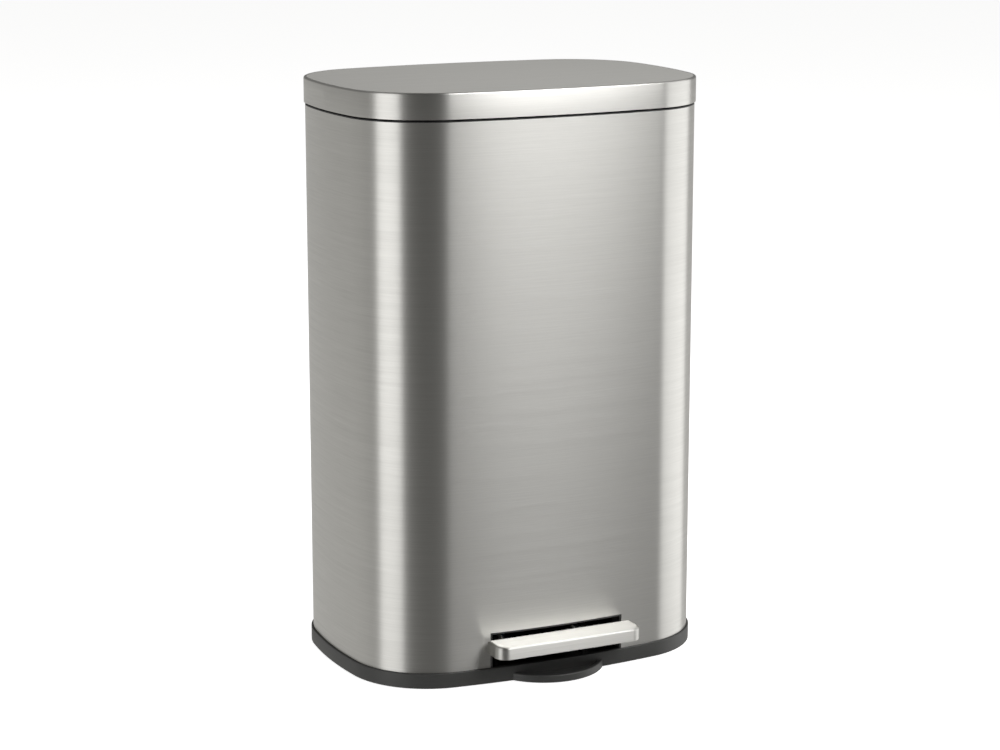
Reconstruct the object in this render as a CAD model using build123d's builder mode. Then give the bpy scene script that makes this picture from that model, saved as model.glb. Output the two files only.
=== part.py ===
from build123d import *
from math import asin, atan2, degrees, hypot, radians, sin, sqrt, tan
import os

# A free-standing step can: a steel body on a plastic base, a lidded top hinged at the back, a lift-out
# bucket, and a pedal whose lever raises the lid through a rod behind the bucket.
# Frame: millimetres, +Z up, front towards -Y, origin on the floor under the middle of the lid's outline.

# ---- Overall sizes ----
width = 420             # lid, side to side
depth = 302             # lid, front to back
height = 650            # floor to lid top
front_bow = 18.6        # how far the front and back bow out between the sharp corners
side_bow = 18.8         # how far the sides bow out between the sharp corners
corner_radius = 94

# ---- Sheet metal and lid ----
sheet = 0.5             # body and lid steel
lid_height = 28         # the lid's skirt, top included
lid_edge = 2            # rounding of the lid's top edge
lid_overhang = 1.4      # lid beyond the body, all round
seam = 3                # dark line between the lid's skirt and the body's top edge
notch_half = 44         # half the width of the cut in the lid's back skirt, where the hinge passes
notch_height = 18

# ---- Base ----
foot_drop = 1.2         # rubber feet below the base
base_top = 18           # ledge that the body stands on
base_flare = 1          # base beyond the lid's outline
base_wall = 2.5
base_upstand = 20       # inner wall of the base, inside the body
floor_thickness = 3
tongue_radius = 68      # crescent foot under the pedal
tongue_out = 28         # crescent foot beyond the lid's outline
tongue_height = 8.5
tongue_rim = 5.5        # rim left round the crescent's dished top
tongue_root = 8         # rounding where the crescent meets the base

# ---- Rim and bucket ----
rim_width = 20          # rim's deck, from the lid's outline to the bucket's opening
rim_depth = 26          # rim's outer wall, down inside the body
rim_lip = 1.2           # rim's lip over the body's top edge
deck_thickness = 3
ledge_width = 5         # ledge that the bucket's flange hangs on
ledge_drop = 4.7        # ledge below the top of the deck
deck_behind = 36        # rim's deck behind the bucket's opening, where the hinge's arms pass over
opening_corner = 40
bucket_wall = 1.8
bucket_taper = 1.0      # degrees
bucket_gap = 10         # bucket above the mechanism cover
flange_thickness = 2.5
grip_length = 90
grip_height = 22

# ---- Pedal ----
slot_half = 81          # half the width of the slot in the body's front
slot_top = 57.5
pedal_half = 88         # half the pedal plate's width
pedal_depth = 33.5
pedal_top = 51.75
pedal_thickness = 13.75
pedal_corner = 13
pedal_edge = 2
pedal_sheet = 1.2
pedal_gap = 2           # pedal plate in front of the body

# ---- Mechanism ----
lid_swing = 75          # degrees
hinge_behind = 8        # hinge pin behind the lid's outline
hinge_drop = 20         # hinge pin below the lid's top
crank_reach = 24        # push rod in front of the hinge pin
pivot_behind = 51       # lever's pivot behind the lid's front
bar_height = 11.6       # lever's rear bar above the floor, lid shut
bar_room = 11.6         # above the bar when the lid is open, up to the mechanism cover
lever_sheet = 3
lever_half = 44         # inner face of each lever arm from the middle
lever_boss = 10
bush_radius = 6
pin_radius = 4          # lever's pivot pin
hinge_pin_radius = 3
rod_radius = 2
crank_x = 4             # inner face of the crank tab
damper_x = 28           # damper beside the push rod
damper_radius = 7

# ---- Clearances ----
fit = 0.1               # pieces pushed together
grip = 0.02             # holes that grip their pins, on the radius
seat = 0.3              # loose seats
running = 0.05          # pins in their bushes, on the radius
free = 0.6              # moving pieces that pass each other
nut_play = 0.9          # nuts above and below the lever's bar, which tilts between them

# ---- Heights and places that follow ----
lid_bottom = height - lid_height
shell_top = lid_bottom - seam
deck_top = shell_top + rim_lip
ledge_top = deck_top - ledge_drop
shell_inset = lid_overhang
inside_inset = shell_inset + sheet + fit
upstand_inner = inside_inset + base_wall
floor_top = foot_drop + floor_thickness
opening_back = depth / 2 - deck_behind

hinge_y = depth / 2 + hinge_behind
hinge_z = height - hinge_drop
rod_y = hinge_y - crank_reach
rod_travel = 2 * crank_reach * tan(radians(lid_swing / 2))
hook_z = hinge_z - rod_travel / 2

pivot_y = pivot_behind - depth / 2
pivot_z = bar_height + rod_travel / 2
cover_z = bar_height + rod_travel + bar_room
bucket_bottom = cover_z + bucket_gap
lever_reach = rod_y - pivot_y
lever_swing = 2 * degrees(asin(rod_travel / 2 / lever_reach))
lever_end_z = bar_height

pedal_back = -(depth / 2 - shell_inset + pedal_gap)
pedal_front = pedal_back - pedal_depth
pedal_bottom = pedal_top - pedal_thickness


# ---- Outlines shared by the pieces ----
def bow_radius(half_span, bow):
    """Radius of the arc that bows out by bow over twice half_span."""
    return (half_span**2 + bow**2) / (2 * bow)


# The corner arc touches the front and side arcs, so its centre is where their inner parallels cross.
front_radius = bow_radius(width / 2 - side_bow, front_bow)
side_radius = bow_radius(depth / 2 - front_bow, side_bow)
front_back = front_radius - depth / 2
side_back = side_radius - width / 2
centres_apart = hypot(front_back, side_back)
front_inner = front_radius - corner_radius
side_inner = side_radius - corner_radius
along = (front_inner**2 - side_inner**2 + centres_apart**2) / (2 * centres_apart)
across = sqrt(front_inner**2 - along**2)
corner_x = (front_back * across - side_back * along) / centres_apart
corner_y = (front_back * along + side_back * across) / centres_apart - front_back
front_turn = degrees(atan2(corner_x, corner_y + front_back))
side_turn = degrees(atan2(corner_y, corner_x + side_back))


def can_plan(inset=0.0):
    """The lid's outline, drawn in by inset all round: four bowed sides and round corners."""
    corner_turn = 90 - front_turn - side_turn
    with BuildSketch(mode=Mode.PRIVATE) as plan:
        with BuildLine():
            CenterArc((0, front_back), front_radius - inset, -90, front_turn)
            CenterArc((corner_x, -corner_y), corner_radius - inset, front_turn - 90, corner_turn)
            CenterArc((-side_back, 0), side_radius - inset, -side_turn, side_turn)
            mirror(about=Plane.XZ)
            mirror(about=Plane.YZ)
        make_face()
    return plan.sketch


def bucket_plan(inset=0.0):
    """The bucket's opening, drawn in by inset: the can's outline, cut straight across at the back."""
    with BuildSketch(mode=Mode.PRIVATE) as plan:
        add(can_plan(rim_width + inset))
        with Locations((0, opening_back - inset - depth)):
            Rectangle(2 * width, 2 * depth, mode=Mode.INTERSECT)
        fillet(plan.vertices().group_by(Axis.Y)[-1], opening_corner - inset)
    return plan.sketch


def band(outer, inner):
    """The ring between two outlines."""
    with BuildSketch(mode=Mode.PRIVATE) as ring:
        add(outer)
        add(inner, mode=Mode.SUBTRACT)
    return ring.sketch


def wall_y(x, inset):
    """Distance of the front or back side from the middle, at x, drawn in by inset."""
    return sqrt((front_radius - inset) ** 2 - x**2) - front_back


def wall_x(y, inset):
    """Distance of the left or right side from the middle, at y, drawn in by inset."""
    return sqrt((side_radius - inset) ** 2 - y**2) - side_back


up_from = (Align.CENTER, Align.CENTER, Align.MIN)
down_from = (Align.CENTER, Align.CENTER, Align.MAX)

# ---- Base ring: the dark plastic foot of the can, with the crescent foot under the pedal ----
screw_x = 110
screw_inset = upstand_inner + 5
screw_spots = [(x, side * wall_y(x, screw_inset)) for x in (-screw_x, screw_x) for side in (-1, 1)]
screw_spots += [(side * wall_x(0, screw_inset), 0) for side in (-1, 1)]
screw_radius = 1.75
screw_length = 12
screw_head = 4
screw_head_height = 1.8
screw_boss = 6
base_edge = 1
dish_margin = 2         # dish stops this far in front of the ring
frame_lap = 10          # slot liner's frame beyond the slot, all round
frame_room = 0.5
tongue_reach = depth / 2 + tongue_out
tongue_y = tongue_radius - tongue_reach
slot_frame_half = slot_half + frame_lap

with BuildPart() as base_ring:
    with BuildSketch(Plane.XY.offset(foot_drop)):
        add(band(can_plan(-base_flare), can_plan(upstand_inner)))
    extrude(amount=base_top - foot_drop)
    fillet(base_ring.faces().sort_by(Axis.Z)[-1].outer_wire().edges(), base_edge)
    with BuildSketch(Plane.XY.offset(foot_drop)) as sole:
        add(can_plan(-base_flare))
        with Locations((0, tongue_y)):
            Circle(tongue_radius)
        fillet(sole.vertices().sort_by(Axis.Y)[:2], tongue_root)
        add(can_plan(upstand_inner), mode=Mode.SUBTRACT)
    extrude(amount=tongue_height)
    with BuildSketch(Plane.XY.offset(foot_drop + tongue_height / 2)):
        with Locations((0, tongue_y)):
            Circle(tongue_radius - tongue_rim)
        add(can_plan(-base_flare - dish_margin), mode=Mode.SUBTRACT)
    extrude(amount=tongue_height, mode=Mode.SUBTRACT)
    with BuildSketch(Plane.XY.offset(base_top)):
        add(band(can_plan(inside_inset), can_plan(upstand_inner)))
        with Locations((0, -depth / 2)):
            Rectangle(2 * (slot_frame_half + frame_room), depth / 3, mode=Mode.SUBTRACT)
    extrude(amount=base_upstand)
    with BuildSketch(Plane.XY.offset(floor_top)):
        with Locations(screw_spots):
            Circle(screw_boss)
    extrude(amount=base_top - floor_top)
    with Locations([(x, y, floor_top) for x, y in screw_spots]):
        Cylinder(screw_radius + fit, screw_length, align=up_from, mode=Mode.SUBTRACT)
base_ring.part.label = "base_ring"

# ---- Base floor: the pan that closes the bottom and carries the pedal's pivot ----
post_gap = 5            # from each lever arm to its post
post_x = lever_half + lever_sheet + post_gap
post_width = 6
foot_x = 140
foot_y = 85
foot_radius = 11
front_foot_radius = 7
stem_radius = 4
stem_short = 0.5        # stem stops below the floor's upper face
foot_spots = [(x, y) for x in (-foot_x, foot_x) for y in (-foot_y, foot_y)]

with BuildPart() as base_floor:
    with BuildSketch(Plane.XY.offset(foot_drop)):
        add(can_plan(upstand_inner + seat))
    extrude(amount=floor_thickness)
    with BuildSketch(Plane.YZ.offset(post_x)):
        with Locations((pivot_y, (floor_top + pivot_z) / 2)):
            Rectangle(4 * pin_radius, pivot_z - floor_top)
        with Locations((pivot_y, pivot_z)):
            Circle(2 * pin_radius)
    extrude(amount=post_width)
    mirror(about=Plane.YZ)
    with Locations(Location((0, pivot_y, pivot_z), (0, 90, 0))):
        Cylinder(pin_radius + grip, 4 * post_x, mode=Mode.SUBTRACT)
    with Locations([(x, y, foot_drop) for x, y in screw_spots]):
        Cylinder(screw_radius + fit, floor_thickness, align=up_from, mode=Mode.SUBTRACT)
        Cylinder(screw_head + seat, screw_head_height, align=up_from, mode=Mode.SUBTRACT)
    with Locations([(x, y, foot_drop) for x, y in foot_spots]):
        Cylinder(stem_radius + fit, floor_thickness, align=up_from, mode=Mode.SUBTRACT)
base_floor.part.label = "base_floor"

with BuildPart() as base_screws:
    with Locations([(x, y, foot_drop) for x, y in screw_spots]):
        Cylinder(screw_head, screw_head_height, align=up_from)
        Cylinder(screw_radius, screw_length, align=up_from)
base_screws.part.label = "base_screws"

# ---- Rubber feet: four round pads with a stem pushed up into the floor, and one under the crescent ----
with BuildPart() as rubber_feet:
    with Locations([(x, y, 0) for x, y in foot_spots]):
        Cylinder(foot_radius, foot_drop, align=up_from)
        Cylinder(stem_radius, foot_drop + floor_thickness - stem_short, align=up_from)
    with Locations((0, tongue_rim * 2 - tongue_reach, 0)):
        Cylinder(front_foot_radius, foot_drop, align=up_from)
rubber_feet.part.label = "rubber_feet"

# ---- Mechanism cover: the false floor that keeps rubbish off the lever, on four legs ----
cover_thickness = 2.5
cover_leg_radius = 7
cover_leg_span = (180, 110)

with BuildPart() as mechanism_cover:
    with BuildSketch(Plane.XY.offset(cover_z)):
        add(bucket_plan(rim_width / 2))
    extrude(amount=cover_thickness)
    with BuildSketch(Plane.XY.offset(floor_top)):
        with GridLocations(*cover_leg_span, 2, 2):
            Circle(cover_leg_radius)
    extrude(amount=cover_z - floor_top)
mechanism_cover.part.label = "mechanism_cover"

# ---- Hinge plate's place on the body's back, and its rivets ----
plate_height = 36
plate_drop = 6          # plate below the body's top edge
plate_top = shell_top - plate_drop
plate_bottom = plate_top - plate_height
plate_sheet = 2.6
rivet_radius = 2
rivet_x = 24
rivet_edge = 8          # rivets in from the plate's edges
rivet_levels = (plate_bottom + rivet_edge, plate_top - rivet_edge)
rivet_spots = [(x, z) for x in (-rivet_x, rivet_x) for z in rivet_levels]

# ---- Body: one bent steel sheet, open at both ends, with the pedal's slot cut in the front ----
with BuildPart() as outer_shell:
    with BuildSketch(Plane.XY.offset(base_top)):
        add(band(can_plan(shell_inset), can_plan(shell_inset + sheet)))
    extrude(amount=shell_top - base_top)
    with BuildSketch(Plane.XZ.offset(depth / 4)):
        with Locations((0, (base_top + slot_top) / 2)):
            Rectangle(2 * slot_half, slot_top - base_top)
    extrude(amount=depth / 2, mode=Mode.SUBTRACT)
    with BuildSketch(Plane.XZ):
        with Locations(rivet_spots):
            Circle(rivet_radius + fit)
    extrude(amount=-depth, mode=Mode.SUBTRACT)
outer_shell.part.label = "outer_shell"

# ---- Slot liner: dark frame behind the slot, with a tunnel that covers the sheet's raw edge ----
tunnel_wall = 2
tunnel_depth = 22

with BuildPart() as pedal_slot_liner:
    with BuildSketch(Plane.XY.offset(base_top)):
        add(band(can_plan(inside_inset), can_plan(inside_inset + tunnel_wall)))
        with Locations((0, -depth / 2)):
            Rectangle(2 * slot_frame_half, depth / 3, mode=Mode.INTERSECT)
    extrude(amount=slot_top + frame_lap - base_top)
    with BuildSketch(Plane.XZ.offset(depth / 2 - tunnel_depth)):
        with Locations((0, (base_top + slot_top) / 2)):
            Rectangle(2 * (slot_half - seat), slot_top - base_top - 2 * seat)
    extrude(amount=wall_y(slot_half, shell_inset + seat) - depth / 2 + tunnel_depth)
    with BuildSketch(Plane.XZ.offset(depth / 4)):
        with Locations((0, (base_top + slot_top) / 2 - tunnel_wall)):
            Rectangle(2 * (slot_half - seat - tunnel_wall), slot_top - base_top)
    extrude(amount=depth / 2, mode=Mode.SUBTRACT)
pedal_slot_liner.part.label = "pedal_slot_liner"

# ---- Lever: two steel arms on the pivot, a web under the pedal and a bar behind for the rods ----
web_width = 55.1        # plate under the pedal, joining the two arms
web_front = pedal_front + 8
web_back = web_front + web_width
web_lap = 1             # web and bar run this far into each arm
bar_half = 4            # half the arm's height at the bar
bar_front = rod_y - 9
bar_back = rod_y + 8
web_screw_x = 32
web_screw_radius = 2
web_screw_bite = 8      # screw's length in the pedal's core
web_screw_room = 1
pedal_screw_spots = [(x, (pedal_front + pedal_back) / 2) for x in (-web_screw_x, 0, web_screw_x)]

with BuildPart() as pedal_lever:
    with BuildSketch(Plane.YZ.offset(lever_half)):
        with Locations((pivot_y, pivot_z)):
            Circle(lever_boss)
        with BuildLine():
            Polyline(
                (web_front, pedal_bottom - lever_sheet),
                (web_front, pedal_bottom),
                (pivot_y - 8, pedal_bottom),
                (pivot_y, pivot_z + lever_boss),
                (bar_back, lever_end_z + bar_half),
                (bar_back, lever_end_z - bar_half),
                (pivot_y, pivot_z - lever_boss),
                (pedal_back, pedal_bottom - 3 * lever_sheet),
                close=True,
            )
        make_face()
        with Locations((pivot_y, pivot_z)):
            Circle(bush_radius + grip, mode=Mode.SUBTRACT)
    extrude(amount=lever_sheet)
    mirror(about=Plane.YZ)
    with BuildSketch(Plane.XY.offset(pedal_bottom - lever_sheet)):
        with Locations((0, (web_front + web_back) / 2)):
            Rectangle(2 * (lever_half + web_lap), web_back - web_front)
    extrude(amount=lever_sheet)
    with BuildSketch(Plane.XY.offset(lever_end_z - lever_sheet / 2)):
        with Locations((0, (bar_front + bar_back) / 2)):
            Rectangle(2 * (lever_half + web_lap), bar_back - bar_front)
        with Locations((0, rod_y), (damper_x, rod_y)):
            SlotOverall(4 * rod_radius, 2 * rod_radius + 2 * free, rotation=90, mode=Mode.SUBTRACT)
    extrude(amount=lever_sheet)
    with Locations([(x, y, pedal_bottom - lever_sheet) for x, y in pedal_screw_spots]):
        Cylinder(web_screw_radius + fit, lever_sheet, align=up_from, mode=Mode.SUBTRACT)
pedal_lever.part.label = "pedal_lever"

# ---- Pedal: a pressed steel cap over a plastic core, screwed to the lever's web ----
pedal_back_corner = 3


def pedal_outline(inset=0.0):
    """The pedal plate seen from above: round front corners, nearly square back ones."""
    with BuildSketch(mode=Mode.PRIVATE) as plan:
        with Locations((0, (pedal_front + pedal_back) / 2)):
            Rectangle(2 * pedal_half, pedal_depth)
        fillet(plan.vertices().group_by(Axis.Y)[0], pedal_corner)
        fillet(plan.vertices().group_by(Axis.Y)[-1], pedal_back_corner)
        if inset:
            offset(amount=-inset)
    return plan.sketch


with BuildPart() as pedal_plate:
    with BuildSketch(Plane.XY.offset(pedal_bottom)):
        add(pedal_outline())
    extrude(amount=pedal_thickness)
    fillet(pedal_plate.edges().group_by(Axis.Z)[-1], pedal_edge)
    with BuildSketch(Plane.XY.offset(pedal_bottom)):
        add(pedal_outline(pedal_sheet))
    extrude(amount=pedal_thickness - pedal_sheet, mode=Mode.SUBTRACT)
pedal_plate.part.label = "pedal_plate"

with BuildPart() as pedal_core:
    with BuildSketch(Plane.XY.offset(pedal_bottom)):
        add(pedal_outline(pedal_sheet + fit))
    extrude(amount=pedal_thickness - pedal_sheet - fit)
    with Locations([(x, y, pedal_bottom) for x, y in pedal_screw_spots]):
        Cylinder(web_screw_radius + fit, web_screw_bite + web_screw_room, align=up_from, mode=Mode.SUBTRACT)
pedal_core.part.label = "pedal_core"

with BuildPart() as pedal_screws:
    with Locations([(x, y, pedal_bottom - lever_sheet) for x, y in pedal_screw_spots]):
        Cylinder(2.1 * web_screw_radius, 1.1 * web_screw_radius, align=down_from)
        Cylinder(web_screw_radius, lever_sheet + web_screw_bite, align=up_from)
pedal_screws.part.label = "pedal_screws"

# ---- Pivot: a steel pin through the floor's posts, with a nylon bush in each lever arm ----
bush_stand = 1          # bush inside each arm
bush_flange = 2
bush_flange_width = 1.5
pin_stand = 4           # pivot pin outside each post
clip_rim = 3
clip_width = 1.2

with BuildPart() as lever_bushes:
    with BuildSketch(Plane.YZ.offset(lever_half - bush_stand)):
        with Locations((pivot_y, pivot_z)):
            Circle(bush_radius)
            Circle(pin_radius + running, mode=Mode.SUBTRACT)
    extrude(amount=lever_sheet + bush_stand)
    with BuildSketch(Plane.YZ.offset(lever_half + lever_sheet)):
        with Locations((pivot_y, pivot_z)):
            Circle(bush_radius + bush_flange)
            Circle(pin_radius + running, mode=Mode.SUBTRACT)
    extrude(amount=bush_flange_width)
    mirror(about=Plane.YZ)
lever_bushes.part.label = "lever_bushes"

with BuildPart() as pivot_pin:
    with BuildSketch(Plane.YZ):
        with Locations((pivot_y, pivot_z)):
            Circle(pin_radius)
    extrude(amount=post_x + post_width + pin_stand, both=True)
pivot_pin.part.label = "pivot_pin"

with BuildPart() as pivot_pin_clips:
    with BuildSketch(Plane.YZ.offset(post_x + post_width + fit)):
        with Locations((pivot_y, pivot_z)):
            Circle(pin_radius + clip_rim)
            Circle(pin_radius + grip, mode=Mode.SUBTRACT)
            Rectangle(pin_radius, 3 * pin_radius, align=(Align.CENTER, Align.MAX), mode=Mode.SUBTRACT)
    extrude(amount=clip_width)
    mirror(about=Plane.YZ)
pivot_pin_clips.part.label = "pivot_pin_clips"

# ---- Rim: plastic ring in the body's top; the bucket hangs in it, and the crank dips into its pocket ----
pocket_left = -9
pocket_right = 22
crank_slot_in = crank_reach - 0.4
crank_slot_out = crank_reach / sin(radians(90 - lid_swing / 2)) + 0.4
crank_slot_width = 2 * rod_radius + 2.8
crank_wall = 3.2
pocket_front = hinge_y - crank_slot_out - crank_slot_width / 2 - crank_wall - free
pocket_back = depth / 2 - inside_inset - 1.2

with BuildPart() as top_rim:
    with BuildSketch(Plane.XY.offset(shell_top - rim_depth)):
        add(band(can_plan(inside_inset), can_plan(upstand_inner)))
    extrude(amount=rim_depth)
    with BuildSketch(Plane.XY.offset(deck_top - deck_thickness)):
        add(band(can_plan(inside_inset), bucket_plan()))
    extrude(amount=deck_thickness)
    with BuildSketch(Plane.XY.offset(shell_top)):
        add(band(can_plan(shell_inset + 0.3), bucket_plan()))
    extrude(amount=rim_lip)
    with BuildSketch(Plane.XY.offset(ledge_top - deck_thickness)):
        add(band(bucket_plan(-bucket_wall), bucket_plan(ledge_width)))
    extrude(amount=deck_thickness)
    with BuildSketch(Plane.XY.offset(ledge_top)):
        add(band(bucket_plan(-bucket_wall), bucket_plan()))
    extrude(amount=ledge_drop)
    with BuildSketch(Plane.XY.offset(shell_top - rim_depth)):
        with Locations(((pocket_left + pocket_right) / 2, (pocket_front + pocket_back) / 2)):
            Rectangle(pocket_right - pocket_left, pocket_back - pocket_front)
    extrude(amount=2 * rim_depth, mode=Mode.SUBTRACT)
    with BuildSketch(Plane.XY.offset(shell_top - rim_depth)):
        with Locations((0, depth / 2)):
            Rectangle(2 * (rivet_x + 3 * rivet_radius + 2), 20)
    extrude(amount=rim_depth - deck_thickness, mode=Mode.SUBTRACT)
top_rim.part.label = "top_rim"

# ---- Bucket: tapered plastic pail with a flange and a grip slot in each side ----
bucket_inset = ledge_width + 1.5
pail_depth = ledge_top - bucket_bottom
grip_z = ledge_top - deck_thickness - grip_height / 2 - 8

bucket_round = 12

with BuildPart() as bucket_hollow:
    with BuildSketch(Plane.XY.offset(ledge_top + flange_thickness)):
        add(bucket_plan(bucket_inset + bucket_wall))
    extrude(amount=-pail_depth - flange_thickness + bucket_wall, taper=bucket_taper)
    fillet(bucket_hollow.faces().sort_by(Axis.Z)[0].edges(), bucket_round - bucket_wall)

with BuildPart() as inner_bucket:
    with BuildSketch(Plane.XY.offset(ledge_top)):
        add(bucket_plan(bucket_inset))
    extrude(amount=-pail_depth, taper=bucket_taper)
    fillet(inner_bucket.faces().sort_by(Axis.Z)[0].edges(), bucket_round)
    with BuildSketch(Plane.XY.offset(ledge_top)):
        add(bucket_plan(free))
    extrude(amount=flange_thickness)
    add(bucket_hollow.part, mode=Mode.SUBTRACT)
    with BuildSketch(Plane.YZ.offset(-width)):
        with Locations((0, grip_z)):
            SlotOverall(grip_length, grip_height)
    extrude(amount=2 * width, mode=Mode.SUBTRACT)
inner_bucket.part.label = "inner_bucket"

# ---- Push rod: steel wire from the lever's bar up to the crank, hooked over at the top ----
hook_reach = 14
rod_foot = lever_end_z - 9
nut_gap = lever_sheet / 2 + nut_play
nut_height = 3
rod_nut_radius = 4.4
damper_nut_radius = 4.2
rod_clip_radius = 5.2

with BuildPart() as push_rod:
    with BuildSketch(Plane.XY.offset(rod_foot + 2)):
        with Locations((0, rod_y)):
            Circle(rod_radius)
    extrude(amount=hook_z - rod_foot - 2)
    with Locations((0, rod_y, hook_z)):
        Sphere(rod_radius)
    with BuildSketch(Plane.YZ):
        with Locations((rod_y, hook_z)):
            Circle(rod_radius)
    extrude(amount=hook_reach)
push_rod.part.label = "push_rod"

with BuildPart() as rod_nuts:
    for top, grow in ((lever_end_z + nut_gap, 1), (lever_end_z - nut_gap, -1)):
        with BuildSketch(Plane.XY.offset(top)):
            with Locations((0, rod_y)):
                RegularPolygon(rod_nut_radius, 6)
                Circle(rod_radius + grip, mode=Mode.SUBTRACT)
        extrude(amount=nut_height * grow)
rod_nuts.part.label = "rod_nuts"

with BuildPart() as rod_clip:
    with BuildSketch(Plane.YZ.offset(crank_x + lever_sheet + free)):
        with Locations((rod_y, hook_z)):
            Circle(rod_clip_radius)
            Circle(rod_radius + grip, mode=Mode.SUBTRACT)
    extrude(amount=clip_width)
rod_clip.part.label = "rod_clip"

# ---- Damper: slows the lid as it falls; its rod stands on the lever's bar beside the push rod ----
damper_bottom = lever_end_z + rod_travel + 18
damper_length = 70
damper_rod_radius = 1.5

with BuildPart() as damper_cylinder:
    with Locations((damper_x, rod_y, damper_bottom)):
        Cylinder(damper_radius, damper_length, align=up_from)
    fillet(damper_cylinder.edges().group_by(Axis.Z)[-1], 2)
    with Locations((damper_x, rod_y, damper_bottom)):
        Cylinder(
            damper_rod_radius + running,
            damper_length - 8,
            align=up_from,
            mode=Mode.SUBTRACT,
        )
damper_cylinder.part.label = "damper_cylinder"

with BuildPart() as damper_rod:
    with BuildSketch(Plane.XY.offset(lever_end_z - 6)):
        with Locations((damper_x, rod_y)):
            Circle(damper_rod_radius)
    extrude(amount=damper_bottom + 8 - lever_end_z + 6)
damper_rod.part.label = "damper_rod"

with BuildPart() as damper_nuts:
    for top, grow in ((lever_end_z + nut_gap, 1), (lever_end_z - nut_gap, -1)):
        with BuildSketch(Plane.XY.offset(top)):
            with Locations((damper_x, rod_y)):
                RegularPolygon(damper_nut_radius, 6)
                Circle(damper_rod_radius + grip, mode=Mode.SUBTRACT)
        extrude(amount=nut_height * grow)
damper_nuts.part.label = "damper_nuts"

# ---- Brackets on the inside of the body's back: the damper's saddle and the push rod's guides ----
bracket_height = 30
bracket_lift = 20       # bracket above the damper's lower end
bracket_reach = 28      # bracket in from the lid's outline
guide_width = 16
guide_height = 10
guide_reach = 22

with BuildPart() as damper_bracket:
    with BuildSketch(Plane.XY.offset(damper_bottom + bracket_lift)):
        with Locations((damper_x, (depth - bracket_reach) / 2)):
            Rectangle(2 * damper_radius + 8, bracket_reach)
        add(can_plan(inside_inset), mode=Mode.INTERSECT)
        with Locations((damper_x, rod_y)):
            Circle(damper_radius + grip, mode=Mode.SUBTRACT)
        with Locations((damper_x, rod_y - damper_radius - 5)):
            Rectangle(2 * damper_radius + 9, 10, mode=Mode.SUBTRACT)
    extrude(amount=bracket_height)
damper_bracket.part.label = "damper_bracket"

with BuildPart() as rod_guides:
    for guide_z in (height / 3, height * 3 / 4):
        with BuildSketch(Plane.XY.offset(guide_z)):
            with Locations((0, (depth - guide_reach) / 2)):
                Rectangle(guide_width, guide_reach)
            add(can_plan(inside_inset), mode=Mode.INTERSECT)
            with Locations((0, rod_y)):
                Circle(rod_radius + seat, mode=Mode.SUBTRACT)
        extrude(amount=guide_height)
rod_guides.part.label = "rod_guides"

# ---- Hinge bracket: bowed steel plate riveted to the body's back, with two ears for the pin ----
ear_x = 38
ear_sheet = 3
knuckle_radius = 7
cover_screw_radius = 1.5
cover_screw_spots = [(x, (plate_bottom + plate_top) / 2) for x in (-12, 12)]

with BuildPart() as hinge_bracket:
    with BuildSketch(Plane.XY.offset(plate_bottom)):
        add(band(can_plan(shell_inset - fit - plate_sheet), can_plan(shell_inset - fit)))
        with Locations((0, depth / 2)):
            Rectangle(2 * (ear_x + ear_sheet), depth / 3, mode=Mode.INTERSECT)
    extrude(amount=plate_top - plate_bottom)
    with BuildSketch(Plane.YZ.offset(ear_x)):
        with BuildLine():
            Polyline(
                (depth / 2 - 1, plate_bottom),
                (depth / 2 - 1, plate_top),
                (hinge_y - knuckle_radius, hinge_z),
                (hinge_y + knuckle_radius, hinge_z),
                (hinge_y + knuckle_radius, plate_top),
                (depth / 2 + 6, plate_bottom),
                close=True,
            )
        make_face()
        with Locations((hinge_y, hinge_z)):
            Circle(knuckle_radius)
            Circle(hinge_pin_radius + grip, mode=Mode.SUBTRACT)
    extrude(amount=ear_sheet)
    mirror(about=Plane.YZ)
    with BuildSketch(Plane.XZ):
        with Locations(rivet_spots):
            Circle(rivet_radius + fit)
        with Locations(cover_screw_spots):
            Circle(cover_screw_radius + grip)
    extrude(amount=-depth, mode=Mode.SUBTRACT)
hinge_bracket.part.label = "hinge_bracket"

with BuildPart() as hinge_pin:
    with BuildSketch(Plane.YZ):
        with Locations((hinge_y, hinge_z)):
            Circle(hinge_pin_radius)
    extrude(amount=ear_x + ear_sheet + 1.8, both=True)
hinge_pin.part.label = "hinge_pin"

with BuildPart() as hinge_pin_clips:
    with BuildSketch(Plane.YZ.offset(ear_x + ear_sheet + fit)):
        with Locations((hinge_y, hinge_z)):
            Circle(hinge_pin_radius + 2)
            Circle(hinge_pin_radius + grip, mode=Mode.SUBTRACT)
            Rectangle(hinge_pin_radius, 9, align=(Align.CENTER, Align.MAX), mode=Mode.SUBTRACT)
    extrude(amount=1)
    mirror(about=Plane.YZ)
hinge_pin_clips.part.label = "hinge_pin_clips"

rivet_y = wall_y(rivet_x, shell_inset - fit - plate_sheet)
rivet_inner = wall_y(rivet_x, shell_inset + sheet)
with BuildPart() as hinge_bracket_rivets:
    with BuildSketch(Plane.XZ.offset(-rivet_y - 0.15)):
        with Locations(rivet_spots):
            Circle(2 * rivet_radius)
    extrude(amount=-1.4)
    with BuildSketch(Plane.XZ.offset(-rivet_y - 1)):
        with Locations(rivet_spots):
            Circle(rivet_radius)
    extrude(amount=rivet_y + 1 - rivet_inner + 1.2)
    with BuildSketch(Plane.XZ.offset(-rivet_inner + 0.15)):
        with Locations(rivet_spots):
            Circle(2 * rivet_radius)
    extrude(amount=1.4)
hinge_bracket_rivets.part.label = "hinge_bracket_rivets"

# ---- Hinge cover: plastic housing on the back, open at the top where the arms come out ----
cover_half = 49
cover_wall = 2.2
cover_reach = 29        # behind the lid's outline
cover_bottom = plate_bottom - 16
cover_top = hinge_z + 1.5
lid_clear = 1.8         # in front of the cover's upper edge, behind the lid's skirt
cover_back = depth / 2 + cover_reach


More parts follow.
